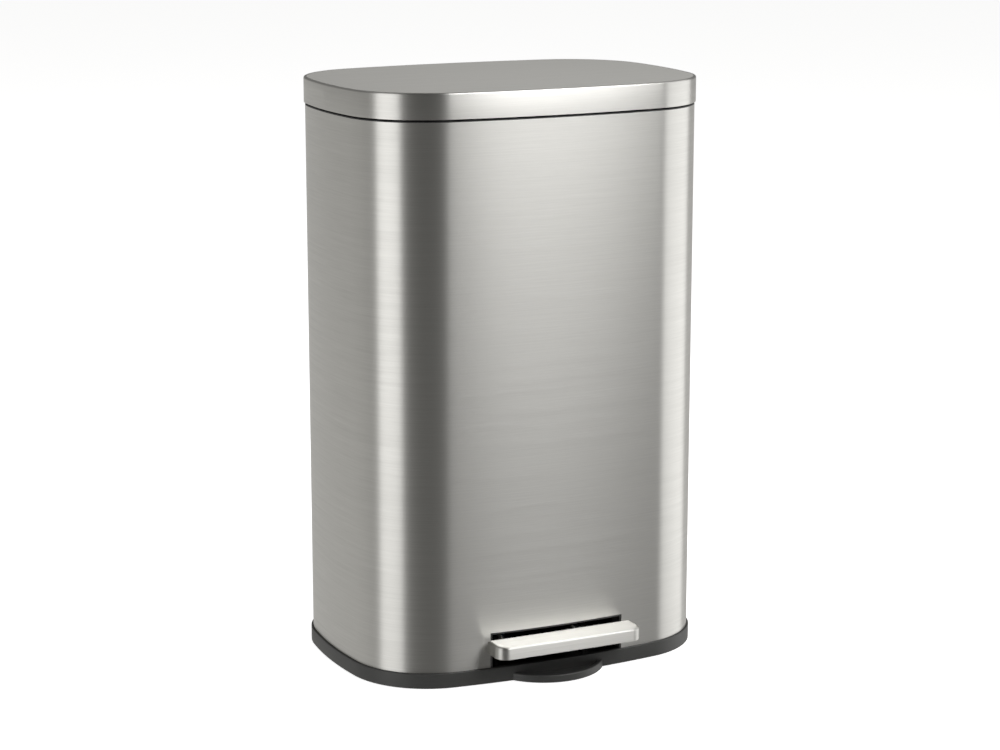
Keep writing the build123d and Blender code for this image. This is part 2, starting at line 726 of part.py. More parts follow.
def cover_profile(inset=0.0):
    """The housing seen from the side: a slope below, an upright back, a round top."""
    with BuildSketch(mode=Mode.PRIVATE) as side:
        with BuildLine():
            Polyline(
                (depth / 4, cover_bottom),
                (depth / 2 + 2, cover_bottom),
                (cover_back, cover_bottom + 30),
                (cover_back, cover_top),
                (depth / 4, cover_top),
                close=True,
            )
        make_face()
        corners = side.vertices().filter_by(lambda v: v.Y < cover_top and v.X > depth / 4 + 1)
        fillet(corners, 8)
        fillet(side.vertices().sort_by(Axis.X)[-1], 10)
        if inset:
            offset(amount=-inset)
    return side.sketch


with BuildPart() as hinge_cover:
    with BuildSketch(Plane.YZ.offset(-cover_half)):
        add(cover_profile())
    extrude(amount=2 * cover_half)
    with BuildSketch(Plane.YZ.offset(cover_wall - cover_half)):
        add(cover_profile(cover_wall))
    extrude(amount=2 * (cover_half - cover_wall), mode=Mode.SUBTRACT)
    with BuildSketch(Plane.XY.offset(cover_bottom)):
        add(can_plan(shell_inset - seat))
    extrude(amount=height, mode=Mode.SUBTRACT)
    with BuildSketch(Plane.XY.offset(shell_top - 1)):
        with Locations((0, lid_clear)):
            Rectangle(2 * width, depth)
    extrude(amount=height, mode=Mode.SUBTRACT)
    with BuildSketch(Plane.XY.offset(cover_top - 2 * cover_wall)):
        with Locations((0, hinge_y - 3)):
            Rectangle(2 * (cover_half - cover_wall), 2 * (knuckle_radius + 3))
    extrude(amount=height, mode=Mode.SUBTRACT)
    with BuildSketch(Plane.XZ.offset(-cover_back + cover_wall / 2)):
        with Locations(cover_screw_spots):
            Circle(4)
    extrude(amount=cover_back - cover_wall / 2 - wall_y(12, shell_inset - fit - plate_sheet) - seat)
    with BuildSketch(Plane.XZ.offset(-depth)):
        with Locations(cover_screw_spots):
            Circle(cover_screw_radius + fit)
    extrude(amount=depth, mode=Mode.SUBTRACT)
hinge_cover.part.label = "hinge_cover"

with BuildPart() as hinge_cover_screws:
    with BuildSketch(Plane.XZ.offset(-cover_back)):
        with Locations(cover_screw_spots):
            Circle(3.2)
    extrude(amount=-1.6)
    with BuildSketch(Plane.XZ.offset(-cover_back)):
        with Locations(cover_screw_spots):
            Circle(cover_screw_radius)
    extrude(amount=cover_back - wall_y(12, shell_inset - fit - plate_sheet) + 2)
    fillet(hinge_cover_screws.edges().group_by(Axis.Y)[-1], 0.8)
hinge_cover_screws.part.label = "hinge_cover_screws"

# ---- Lid: pressed steel cap, with a plastic liner and the hinge arm screwed up inside it ----
with BuildPart() as lid_hollow:
    with BuildSketch(Plane.XY.offset(lid_bottom)):
        add(can_plan(sheet))
    extrude(amount=lid_height - sheet)
    fillet(lid_hollow.edges().group_by(Axis.Z)[-1], lid_edge - sheet)

with BuildPart() as lid_shell:
    with BuildSketch(Plane.XY.offset(lid_bottom)):
        add(can_plan())
    extrude(amount=lid_height)
    fillet(lid_shell.edges().group_by(Axis.Z)[-1], lid_edge)
    add(lid_hollow.part, mode=Mode.SUBTRACT)
    with BuildSketch(Plane.XY.offset(lid_bottom)):
        with Locations((0, depth / 2)):
            Rectangle(2 * notch_half, depth / 8)
    extrude(amount=notch_height, mode=Mode.SUBTRACT)
lid_shell.part.label = "lid_shell"

arm_front = depth / 2 - 56
arm_screw_radius = 2
arm_screw_spots = [(x, y) for x in (-22, 22) for y in (arm_front + 10, arm_front + 34)]
liner_wall = 2
liner_bottom = lid_bottom + 1
panel_bottom = height - 10
panel_thickness = 2.2
bumper_radius = 4
bumper_x = 110
bumper_y = 50
bumper_spots = [(x, -wall_y(x, rim_width / 2)) for x in (-bumper_x, bumper_x)]
bumper_spots += [(side * wall_x(bumper_y, rim_width / 2), bumper_y) for side in (-1, 1)]

with BuildPart() as lid_liner:
    with BuildSketch(Plane.XY.offset(liner_bottom)):
        add(band(can_plan(sheet + fit), can_plan(sheet + fit + liner_wall)))
    extrude(amount=height - sheet - lid_edge - liner_bottom)
    with BuildSketch(Plane.XY.offset(panel_bottom)):
        add(can_plan(sheet + fit))
    extrude(amount=panel_thickness)
    with BuildSketch(Plane.XY.offset(panel_bottom)):
        with Locations(arm_screw_spots):
            Circle(5)
    extrude(amount=7)
    with BuildSketch(Plane.XY.offset(liner_bottom)):
        with Locations(bumper_spots):
            Circle(bumper_radius + 1)
    extrude(amount=panel_bottom - liner_bottom)
    with BuildSketch(Plane.XY.offset(liner_bottom)):
        with Locations((0, depth / 2)):
            Rectangle(2 * notch_half, depth / 8)
    extrude(amount=lid_bottom + notch_height - liner_bottom, mode=Mode.SUBTRACT)
    with BuildSketch(Plane.XY.offset(panel_bottom)):
        with Locations(arm_screw_spots):
            Circle(arm_screw_radius + fit)
    extrude(amount=5.5, mode=Mode.SUBTRACT)
lid_liner.part.label = "lid_liner"

with BuildPart() as lid_bumpers:
    with BuildSketch(Plane.XY.offset(deck_top + seat)):
        with Locations(bumper_spots):
            Circle(bumper_radius)
    extrude(amount=liner_bottom - deck_top - seat)
lid_bumpers.part.label = "lid_bumpers"

# ---- Hinge arm: steel plate under the lid's panel, two arms back to the pin and the crank tab ----
arm_x = 31
arm_over = shell_top + 5.5
crank_angle = lid_swing / 2

with BuildPart() as hinge_arm:
    with BuildSketch(Plane.XY.offset(panel_bottom - lever_sheet)):
        with Locations((0, (arm_front + depth / 2 - 6) / 2)):
            RectangleRounded(2 * (arm_x + lever_sheet), depth / 2 - 6 - arm_front, 3)
    extrude(amount=lever_sheet)
    with BuildSketch(Plane.YZ.offset(arm_x)):
        with BuildLine():
            Polyline(
                (hinge_y, hinge_z + knuckle_radius),
                (arm_front + 4, panel_bottom),
                (arm_front + 4, panel_bottom - lever_sheet),
                (depth / 2 - 30, panel_bottom - lever_sheet),
                (depth / 2 - 8, arm_over),
                (hinge_y, arm_over),
                close=True,
            )
        make_face()
        with Locations((hinge_y, hinge_z)):
            Circle(knuckle_radius)
            Circle(hinge_pin_radius + running, mode=Mode.SUBTRACT)
    extrude(amount=lever_sheet)
    mirror(about=Plane.YZ)
    with BuildSketch(Plane.YZ.offset(crank_x)):
        with BuildLine():
            Polyline(
                (rod_y - 6, panel_bottom - lever_sheet / 2),
                (depth / 2 - 5.5, panel_bottom - lever_sheet / 2),
                (depth / 2 - 5.5, hook_z + 5),
                (rod_y, hook_z + 2),
                close=True,
            )
        make_face()
        with Locations(Location((hinge_y, hinge_z), -180 + crank_angle)):
            with Locations(((crank_slot_in + crank_slot_out) / 2, 0)):
                SlotCenterToCenter(crank_slot_out - crank_slot_in, crank_slot_width + 2 * crank_wall)
                SlotCenterToCenter(crank_slot_out - crank_slot_in, crank_slot_width, mode=Mode.SUBTRACT)
    extrude(amount=lever_sheet)
    with Locations([(x, y, panel_bottom - lever_sheet) for x, y in arm_screw_spots]):
        Cylinder(arm_screw_radius + fit, lever_sheet, align=up_from, mode=Mode.SUBTRACT)
hinge_arm.part.label = "hinge_arm"

with BuildPart() as lid_screws:
    with Locations([(x, y, panel_bottom - lever_sheet) for x, y in arm_screw_spots]):
        Cylinder(2 * arm_screw_radius, arm_screw_radius, align=down_from)
        Cylinder(arm_screw_radius, lever_sheet + 5, align=up_from)
lid_screws.part.label = "lid_screws"

# ---- Write each piece ----
pieces = [
    base_ring, base_floor, base_screws, rubber_feet, mechanism_cover, outer_shell, pedal_slot_liner,
    pedal_lever, pedal_plate, pedal_core, pedal_screws, lever_bushes, pivot_pin, pivot_pin_clips,
    top_rim, inner_bucket, push_rod, rod_nuts, rod_clip, damper_cylinder, damper_rod, damper_nuts,
    damper_bracket, rod_guides, hinge_bracket, hinge_pin, hinge_pin_clips, hinge_bracket_rivets,
    hinge_cover, hinge_cover_screws, lid_shell, lid_liner, lid_bumpers, hinge_arm, lid_screws,
]
os.makedirs("parts", exist_ok=True)
for piece in pieces:
    export_step(piece.part, f"parts/{piece.part.label}.step")
print(f"pedal turns {lever_swing:.3f} deg, rods rise {rod_travel:.3f} mm, bar at z {lever_end_z:.2f}")
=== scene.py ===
from math import atan2, cos, hypot, inf, pi, radians, sin, sqrt

import bmesh
import bpy
from mathutils import Matrix, Vector


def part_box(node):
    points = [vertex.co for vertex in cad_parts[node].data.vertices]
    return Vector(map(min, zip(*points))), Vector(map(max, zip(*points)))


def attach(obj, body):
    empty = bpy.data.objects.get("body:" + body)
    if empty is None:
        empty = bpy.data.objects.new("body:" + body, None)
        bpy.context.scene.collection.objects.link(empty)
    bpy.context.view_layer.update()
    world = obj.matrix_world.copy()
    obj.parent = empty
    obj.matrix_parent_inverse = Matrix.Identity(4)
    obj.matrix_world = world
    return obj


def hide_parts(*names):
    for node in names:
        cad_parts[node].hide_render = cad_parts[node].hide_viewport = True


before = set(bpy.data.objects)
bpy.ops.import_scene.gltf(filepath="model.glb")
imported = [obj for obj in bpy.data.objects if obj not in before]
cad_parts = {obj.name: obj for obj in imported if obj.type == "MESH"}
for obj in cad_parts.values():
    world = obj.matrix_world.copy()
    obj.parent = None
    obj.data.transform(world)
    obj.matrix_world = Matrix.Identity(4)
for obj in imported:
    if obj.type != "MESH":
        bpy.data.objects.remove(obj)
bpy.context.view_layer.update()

mm = 0.001

# ---- Studio ----
# A white seamless floor and a set of soft boxes round the can. Steel shows only what it reflects: one
# broad box in front to the right lights the face, two upright strips draw the bright lines on the round
# corners, and the even surround is dim in front and bright behind.


def linear(colour):
    """An sRGB hex colour as the linear RGBA that shaders take."""
    parts = [int(colour[i:i + 2], 16) / 255 for i in (1, 3, 5)]
    return [p / 12.92 if p <= 0.04045 else ((p + 0.055) / 1.055) ** 2.4 for p in parts] + [1.0]


def add_node(tree, kind, links=None, inputs=None, **settings):
    """A new shader node, with its settings, its inputs' values and the links that feed it."""
    node = tree.nodes.new("ShaderNode" + kind)
    for name, value in settings.items():
        setattr(node, name, value)
    for socket, value in (inputs or {}).items():
        node.inputs[socket].default_value = value
    for socket, source in (links or {}).items():
        tree.links.new(source, node.inputs[socket])
    return node


def new_material(name):
    """An empty node material."""
    material = bpy.data.materials.new(name)
    material.use_nodes = True
    material.node_tree.nodes.clear()
    return material


def soft_box(name, bearing, distance, low, high, spread, radiance):
    """An upright soft box that faces the can: bearing and spread are degrees, counted from the front."""
    lamp = bpy.data.lights.new(name, "AREA")
    lamp.shape = "RECTANGLE"
    lamp.size = 2 * distance * sin(radians(spread / 2))
    lamp.size_y = high - low
    lamp.energy = 4 * radiance * lamp.size * lamp.size_y
    turn = radians(bearing)
    place = Vector((sin(turn) * distance, -cos(turn) * distance, (low + high) / 2))
    box = bpy.data.objects.new(name, lamp)
    towards_can = Vector((-place.x, -place.y, 0)).to_track_quat("-Z", "Y")
    box.matrix_world = Matrix.Translation(place) @ towards_can.to_matrix().to_4x4()
    box.visible_camera = False
    bpy.context.scene.collection.objects.link(box)


soft_box("key_box", bearing=28, distance=2.6, low=1.4, high=3.2, spread=38, radiance=7.4)
soft_box("left_strip", bearing=-74, distance=2.4, low=-1.0, high=2.6, spread=34, radiance=1.05)
soft_box("right_strip", bearing=78, distance=2.4, low=-1.0, high=2.6, spread=56, radiance=0.85)

overhead_lamp = bpy.data.lights.new("overhead", "AREA")
overhead_lamp.size = 6.0
overhead_lamp.energy = 45
overhead = bpy.data.objects.new("overhead", overhead_lamp)
overhead.location = (0, 0, 4.5)
overhead.visible_camera = False
overhead.visible_glossy = False
bpy.context.scene.collection.objects.link(overhead)

# The surround is brighter behind the can than in front, and dimmer above the skyline than below it.
world = bpy.data.worlds.new("studio")
world.use_nodes = True
bpy.context.scene.world = world
surround = world.node_tree
surround.nodes.clear()
direction = add_node(surround, "TexCoord")
parts = add_node(surround, "SeparateXYZ", {"Vector": direction.outputs["Generated"]})
behind = add_node(
    surround, "MapRange", {"Value": parts.outputs["Y"]},
    {"From Min": -0.8, "From Max": 0.5, "To Min": 0.21, "To Max": 0.8},
)
above = add_node(
    surround, "MapRange", {"Value": parts.outputs["Z"]},
    {"From Min": -0.12, "From Max": 0.06, "To Min": 0.82, "To Max": 0.28},
)
glow = add_node(surround, "Math", {0: behind.outputs[0], 1: above.outputs[0]}, operation="MULTIPLY")
background = add_node(
    surround, "Background", {"Strength": glow.outputs[0]}, {"Color": linear("#fbfaf7")}
)
add_node(surround, "OutputWorld", {"Surface": background.outputs[0]})

floor_half = 20
feet_clearance = 0.2 * mm
floor_bm = bmesh.new()
bmesh.ops.create_grid(floor_bm, x_segments=1, y_segments=1, size=floor_half)
floor_mesh = bpy.data.meshes.new("floor")
floor_bm.to_mesh(floor_mesh)
floor_bm.free()
floor_mesh.transform(Matrix.Translation((0, 0, -feet_clearance)))
floor = bpy.data.objects.new("floor", floor_mesh)
floor.visible_glossy = False
floor.visible_shadow = False
bpy.context.scene.collection.objects.link(floor)
painted = new_material("white_studio_floor")
mottle = add_node(painted.node_tree, "TexNoise", inputs={"Scale": 1.5, "Detail": 2.0})
paint = add_node(painted.node_tree, "ValToRGB", {"Fac": mottle.outputs[0]})
paint.color_ramp.elements[0].color = linear("#f4f4f3")
paint.color_ramp.elements[1].color = linear("#fafafa")
matte = add_node(
    painted.node_tree, "BsdfPrincipled", {"Base Color": paint.outputs[0]},
    {"Roughness": 0.9, "Emission Color": linear("#ffffff"), "Emission Strength": 0.8},
)
add_node(painted.node_tree, "OutputMaterial", {"Surface": matte.outputs[0]})
floor_mesh.materials.append(painted)

camera_data = bpy.data.cameras.new("camera")
camera_data.lens = 92.8
camera = bpy.data.objects.new("camera", camera_data)
camera.location = (-1.2276, -2.5805, 0.9402)
aim_point = Vector((0.0, 0.0, 0.31))
camera.rotation_euler = (aim_point - camera.location).to_track_quat("-Z", "Y").to_euler()
bpy.context.scene.collection.objects.link(camera)
bpy.context.scene.camera = camera
bpy.context.scene.view_settings.view_transform = "Standard"

# ---- Body ----
# The body is one sheet of stainless steel, bent round and open at both ends, with the pedal's slot
# punched in the front. The sheet is brushed level before it is bent, so light spreads up and down it.
steel_sheet = 0.5 * mm
front_bow = 18.6 * mm       # the face and the back bow out this far beyond a flat one
side_bow = 18.8 * mm
corner_radius = 94 * mm
slot_half = 81 * mm         # the pedal's slot, half its width and the height of its top
slot_top = 57.5 * mm
snap = 0.01 * mm            # points nearer than this are one point
cut_snap = 0.001 * mm
lid_low, lid_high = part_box("lid_shell")
shell_low, shell_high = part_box("outer_shell")
width = lid_high.x - lid_low.x
depth = lid_high.y - lid_low.y
shell_inset = shell_low.x - lid_low.x


def bow_radius(half_span, bow):
    """Radius of the arc that bows out by bow over twice half_span."""
    return (half_span**2 + bow**2) / (2 * bow)


front_radius = bow_radius(width / 2 - side_bow, front_bow)
side_radius = bow_radius(depth / 2 - front_bow, side_bow)
front_back = front_radius - depth / 2
side_back = side_radius - width / 2
centres_apart = hypot(front_back, side_back)
front_inner = front_radius - corner_radius
side_inner = side_radius - corner_radius
along = (front_inner**2 - side_inner**2 + centres_apart**2) / (2 * centres_apart)
across = sqrt(front_inner**2 - along**2)
corner_x = (front_back * across - side_back * along) / centres_apart
corner_y = (front_back * along + side_back * across) / centres_apart - front_back
front_turn = atan2(corner_x, corner_y + front_back)
side_turn = atan2(corner_y, corner_x + side_back)
# A quarter of the outline, from the middle of the front round to the middle of the side: three arcs, each
# with its centre across and back, its turn and its steps.
outline_arcs = (
    (0, front_back, front_turn, 20),
    (corner_x, -corner_y, pi / 2 - front_turn - side_turn, 28),
    (-side_back, 0, side_turn, 14),
)


def can_outline(bm, inset, level):
    """A closed ring of edges round the can: the lid's outline drawn in by inset, at a height."""
    old = set(bm.verts[:] + bm.edges[:])
    tip = bmesh.ops.create_vert(bm, co=(0, inset - depth / 2, level))["vert"][0]
    for x, y, turn, steps in outline_arcs:
        spun = bmesh.ops.spin(
            bm, geom=[tip], cent=(x, y, level), axis=(0, 0, 1), dvec=(0, 0, 0),
            angle=turn, steps=steps, use_merge=False,
        )
        tip = [part for part in spun["geom_last"] if isinstance(part, bmesh.types.BMVert)][0]
    for axis in ("Y", "X"):
        quarter = [part for part in bm.verts[:] + bm.edges[:] if part not in old]
        bmesh.ops.mirror(bm, geom=quarter, matrix=Matrix.Identity(4), merge_dist=snap, axis=axis)
    return [edge for edge in bm.edges if edge not in old]


def edges_at(bm, level):
    """The edges that lie at a height."""
    return [edge for edge in bm.edges if all(abs(vert.co.z - level) < snap for vert in edge.verts)]


def lift(bm, made, rise):
    """Moves the vertices that an extrusion made up by rise, and gives them back."""
    verts = [part for part in made if isinstance(part, bmesh.types.BMVert)]
    bmesh.ops.translate(bm, vec=(0, 0, rise), verts=verts)
    return verts


def extrude_up(bm, edges, rise):
    """Draws a wall up from edges, and gives back the wall's far edges."""
    made = bmesh.ops.extrude_edge_only(bm, edges=edges)["geom"]
    verts = lift(bm, made, rise)
    return edges_at(bm, verts[0].co.z)


def cut_window(bm, half, top, front):
    """Cuts a window, half wide each way and up to a height, in the front or the back wall."""

    def wall_faces(height):
        """The upright faces of that wall whose middles are below a height."""
        middles = [(face, face.calc_center_median()) for face in bm.faces if abs(face.normal.z) < 0.5]
        return [face for face, middle in middles if (middle.y < 0) == front and middle.z < height]

    bm.normal_update()
    for point, normal, height in (
        ((0, 0, top), (0, 0, 1), inf), ((half, 0, 0), (1, 0, 0), top), ((-half, 0, 0), (1, 0, 0), top),
    ):
        faces = wall_faces(height)
        edges = {edge for face in faces for edge in face.edges}
        verts = {vert for face in faces for vert in face.verts}
        bmesh.ops.bisect_plane(
            bm, geom=faces + list(edges) + list(verts), dist=cut_snap, plane_co=point, plane_no=normal
        )
    window = [face for face in wall_faces(top) if abs(face.calc_center_median().x) < half]
    bmesh.ops.delete(bm, geom=window, context="FACES")


def add_piece(name, bm, body, material, nodes, crease=30, wall=0):
    """Makes a finished bmesh a piece that stands for the named nodes: a sheet gets its wall inwards."""
    bmesh.ops.recalc_face_normals(bm, faces=bm.faces)
    if wall:
        bmesh.ops.solidify(bm, geom=bm.faces[:], thickness=wall)
    for face in bm.faces:
        face.smooth = True
    for edge in bm.edges:
        edge.smooth = edge.calc_face_angle(0) < radians(crease)
    mesh = bpy.data.meshes.new(name)
    bm.to_mesh(mesh)
    bm.free()
    mesh.materials.append(material)
    piece = bpy.data.objects.new(name, mesh)
    bpy.context.scene.collection.objects.link(piece)
    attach(piece, body)
    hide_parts(*nodes)


def brushed_steel(name, streak, dull, light, dark):
    """Brushed stainless: level hairlines, so a highlight stays narrow sideways and runs up and down.

    The real hairlines are about 0.05 mm apart, too fine to show: they are drawn at the streak's size.
    Grain and gloss are worked out on the piece itself, so they turn with it.
    """
    hairline_length = 70 * mm
    level_above = 0.7           # a face that looks up more than this is brushed from side to side
    nearly_up = (0, 0.02, 1)    # tipped a little, so that it never lies along a level face's normal
    material = new_material(name)
    tree = material.node_tree
    place = add_node(tree, "TexCoord")
    facing = add_node(tree, "SeparateXYZ", {"Vector": place.outputs["Normal"]})
    level_face = add_node(
        tree, "Math", {0: facing.outputs["Z"]}, {1: level_above}, operation="GREATER_THAN"
    )
    along = 1 / hairline_length
    across = 1 / streak
    upright = add_node(
        tree, "Mapping", {"Vector": place.outputs["Object"]}, {"Scale": (along, along, across)}
    )
    flat = add_node(
        tree, "Mapping", {"Vector": place.outputs["Object"]}, {"Scale": (along, across, along)}
    )
    chosen = add_node(tree, "Mix", {0: level_face.outputs[0]}, data_type="VECTOR")
    tree.links.new(upright.outputs[0], chosen.inputs[4])
    tree.links.new(flat.outputs[0], chosen.inputs[5])
    hairlines = add_node(
        tree, "TexNoise", {"Vector": chosen.outputs[1]}, {"Scale": 1.0, "Detail": 5.0, "Roughness": 0.75}
    )
    passes = add_node(
        tree, "TexNoise", {"Vector": chosen.outputs[1]}, {"Scale": 0.3, "Detail": 2.0, "Roughness": 0.5}
    )
    both = add_node(
        tree, "Math", {0: passes.outputs[0], 2: hairlines.outputs[0]}, {1: 0.35}, operation="MULTIPLY_ADD"
    )
    tone = add_node(tree, "MapRange", {"Value": both.outputs[0]}, {"From Min": 0.45, "From Max": 0.9})
    colour = add_node(tree, "ValToRGB", {"Fac": tone.outputs[0]})
    colour.color_ramp.elements[0].color = linear(dark)
    colour.color_ramp.elements[1].color = linear(light)
    gloss = add_node(
        tree, "MapRange", {"Value": tone.outputs[0]}, {"To Min": dull + 0.03, "To Max": dull - 0.03}
    )
    bump = add_node(
        tree, "Bump", {"Height": hairlines.outputs[0]}, {"Strength": 0.25, "Distance": 0.05 * mm}
    )
    level_line = add_node(
        tree, "VectorMath", {1: place.outputs["Normal"]}, {0: nearly_up}, operation="CROSS_PRODUCT"
    )
    grain = add_node(tree, "VectorMath", {0: level_line.outputs[0]}, operation="NORMALIZE")
    cross_grain = add_node(
        tree, "VectorMath", {0: place.outputs["Normal"], 1: grain.outputs[0]},
        operation="CROSS_PRODUCT",
    )
    tangent = add_node(
        tree, "VectorTransform", {"Vector": cross_grain.outputs[0]},
        vector_type="VECTOR", convert_from="OBJECT", convert_to="WORLD",
    )
    shader = add_node(
        tree, "BsdfPrincipled",
        {
            "Base Color": colour.outputs[0], "Roughness": gloss.outputs[0],
            "Normal": bump.outputs[0], "Tangent": tangent.outputs[0],
        },
        {"Metallic": 1.0, "Anisotropic": 0.85},
    )
    add_node(tree, "OutputMaterial", {"Surface": shader.outputs[0]})
    return material


body_steel = brushed_steel(
    "brushed_stainless_sheet", streak=1.1 * mm, dull=0.37, light="#d2d1cd", dark="#c8c7c3"
)

body_bm = bmesh.new()
can_outline(body_bm, shell_inset, shell_low.z)
extrude_up(body_bm, body_bm.edges[:], shell_high.z - shell_low.z)
cut_window(body_bm, slot_half, slot_top, front=True)
add_piece("body_sheet", body_bm, "can", body_steel, ["outer_shell"], wall=steel_sheet)

# ---- Lid cap ----
# The lid is a shallow cap pressed from the same sheet, with a rolled top edge and a cut in its back skirt
# for the hinge. Its top is brushed from side to side.
lid_edge = 2 * mm
lid_margin = 1.5 * mm       # a narrow band round the flat top, which keeps its shading flat
notch_half = 44 * mm
notch_height = 18 * mm
soft_crease = 40            # degrees: the rolled edges stay smooth, and the cut ones stay sharp


def round_off(bm, geom, radius, segments, affect="EDGES"):
    """Rounds edges, or corners, to a radius."""
    bmesh.ops.bevel(
        bm, geom=geom, offset=radius, offset_type="OFFSET", segments=segments, profile=0.5,
        affect=affect, material=-1,
    )


def largest_face(bm):
    """The face of a piece's flat top."""
    return max(bm.faces, key=lambda face: face.calc_area())


lid_bm = bmesh.new()
can_outline(lid_bm, 0, lid_low.z)
top_edges = extrude_up(lid_bm, lid_bm.edges[:], lid_high.z - lid_low.z)
lid_top = bmesh.ops.contextual_create(lid_bm, geom=top_edges)["faces"][0]
bmesh.ops.recalc_face_normals(lid_bm, faces=lid_bm.faces)
round_off(lid_bm, lid_top.edges[:], lid_edge, segments=5)
bmesh.ops.inset_region(lid_bm, faces=[largest_face(lid_bm)], thickness=lid_margin)
cut_window(lid_bm, notch_half, lid_low.z + notch_height, front=False)
add_piece(
    "lid_cap", lid_bm, "lid", body_steel, ["lid_shell"],
    crease=soft_crease, wall=steel_sheet,
)

# ---- Pedal cap ----
# The pedal is a stainless cap, pressed from thicker sheet, over a plastic core. Its front corners are
# round and its top edge is soft, and it is brushed duller than the body so that a shoe doesn't mark it.
pedal_corner = 13 * mm
pedal_back_corner = 3 * mm
pedal_edge = 2.5 * mm
pedal_margin = 0.8 * mm
pedal_sheet = 1.2 * mm
pedal_low, pedal_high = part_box("pedal_plate")
pedal_steel = brushed_steel(
    "brushed_stainless_pressing", streak=1.0 * mm, dull=0.5, light="#d6d5d1", dark="#cbcac6"
)

pedal_bm = bmesh.new()
bmesh.ops.create_grid(pedal_bm, x_segments=1, y_segments=1, size=0.5)
pedal_span = pedal_high - pedal_low
pedal_centre = (pedal_low + pedal_high) / 2
bmesh.ops.scale(pedal_bm, vec=(pedal_span.x, pedal_span.y, 1), verts=pedal_bm.verts)
bmesh.ops.translate(
    pedal_bm, vec=(pedal_centre.x, pedal_centre.y, pedal_high.z), verts=pedal_bm.verts
)
for corner_round, front in ((pedal_corner, True), (pedal_back_corner, False)):
    corners = [v for v in pedal_bm.verts if (v.co.y < pedal_centre.y) == front]
    round_off(pedal_bm, corners, corner_round, segments=8, affect="VERTICES")
extrude_up(pedal_bm, pedal_bm.edges[:], -pedal_span.z)
bmesh.ops.recalc_face_normals(pedal_bm, faces=pedal_bm.faces)
round_off(pedal_bm, edges_at(pedal_bm, pedal_high.z), pedal_edge, segments=5)
bmesh.ops.inset_region(pedal_bm, faces=[largest_face(pedal_bm)], thickness=pedal_margin)
add_piece(
    "pedal_cap", pedal_bm, "pedal", pedal_steel, ["pedal_plate"],
    crease=soft_crease, wall=pedal_sheet,
)

# ---- Base band ----
# The foot of the can is one moulding in charcoal ABS with a satin, lightly textured skin: a band that the
# steel stands on, and a dished crescent under the pedal that a toe rests against.
base_flare = 1 * mm
base_wall = 4.5 * mm
base_round = 1.2 * mm
tongue_radius = 68 * mm
tongue_height = 8.5 * mm
tongue_rim = 5.5 * mm
tongue_dish = 4.25 * mm
tongue_cut = 5 * mm         # the crescent ends this far inside the lid's outline, within the band
tongue_round = 1.5 * mm
base_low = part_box("base_ring")[0]
base_rise = shell_low.z - base_low.z


def moulded_plastic(name, dark, light, roughness, texture_size, bump_strength):
    """Moulded plastic: a fine spark-eroded texture in the tool gives an even, slightly dry sheen.

    The real texture is about 0.1 to 0.3 mm across, too fine to show: it is drawn at texture_size.
    """
    flow_size = 90 * mm         # slow changes of tone, as the melt flowed
    material = new_material(name)
    tree = material.node_tree
    place = add_node(tree, "TexCoord")
    skin = add_node(
        tree, "TexNoise", {"Vector": place.outputs["Object"]},
        {"Scale": 1 / texture_size, "Detail": 3.0, "Roughness": 0.6},
    )
    flow = add_node(
        tree, "TexNoise", {"Vector": place.outputs["Object"]}, {"Scale": 1 / flow_size, "Detail": 2.0}
    )
    colour = add_node(tree, "ValToRGB", {"Fac": flow.outputs[0]})
    colour.color_ramp.elements[0].position = 0.3
    colour.color_ramp.elements[1].position = 0.7
    colour.color_ramp.elements[0].color = linear(dark)
    colour.color_ramp.elements[1].color = linear(light)
    gloss = add_node(
        tree, "MapRange", {"Value": skin.outputs[0]},
        {"From Min": 0.3, "From Max": 0.7, "To Min": roughness - 0.05, "To Max": roughness + 0.05},
    )
    bump = add_node(
        tree, "Bump", {"Height": skin.outputs[0]}, {"Strength": bump_strength, "Distance": 0.1 * mm}
    )
    shader = add_node(
        tree, "BsdfPrincipled",
        {"Base Color": colour.outputs[0], "Roughness": gloss.outputs[0], "Normal": bump.outputs[0]},
        {"IOR": 1.5},
    )
    add_node(tree, "OutputMaterial", {"Surface": shader.outputs[0]})
    return material


base_plastic = moulded_plastic(
    "satin_charcoal_abs", "#292928", "#323230", roughness=0.48, texture_size=0.7 * mm, bump_strength=0.35
)

base_bm = bmesh.new()
outer_foot = can_outline(base_bm, -base_flare, base_low.z)
outer_top = extrude_up(base_bm, outer_foot, base_rise)
inner_foot = can_outline(base_bm, base_wall, base_low.z)
inner_top = [edge for edge in extrude_up(base_bm, inner_foot, base_rise) if edge not in outer_top]
bmesh.ops.bridge_loops(base_bm, edges=outer_foot + inner_foot)
bmesh.ops.bridge_loops(base_bm, edges=outer_top + inner_top)
bmesh.ops.recalc_face_normals(base_bm, faces=base_bm.faces)
round_off(base_bm, outer_top, base_round, segments=4)

crescent_bm = bmesh.new()
tongue_centre = base_low.y + tongue_radius
bmesh.ops.create_circle(crescent_bm, segments=128, radius=tongue_radius, cap_ends=True)
bmesh.ops.translate(crescent_bm, vec=(0, tongue_centre, base_low.z), verts=crescent_bm.verts)
raised = bmesh.ops.extrude_face_region(crescent_bm, geom=crescent_bm.faces[:])["geom"]
lift(crescent_bm, raised, tongue_height)
bmesh.ops.recalc_face_normals(crescent_bm, faces=crescent_bm.faces)
crescent_top = [part for part in raised if isinstance(part, bmesh.types.BMFace)]
bmesh.ops.inset_region(crescent_bm, faces=crescent_top, thickness=tongue_rim)
sunk = bmesh.ops.extrude_face_region(crescent_bm, geom=crescent_top)["geom"]
bmesh.ops.delete(crescent_bm, geom=crescent_top, context="FACES_ONLY")
lift(crescent_bm, sunk, -tongue_dish)
rims = [
    edge for edge in edges_at(crescent_bm, base_low.z + tongue_height)
    if len(edge.link_faces) == 2 and edge.calc_face_angle(0) > 1
]
round_off(crescent_bm, rims, tongue_round, segments=4)
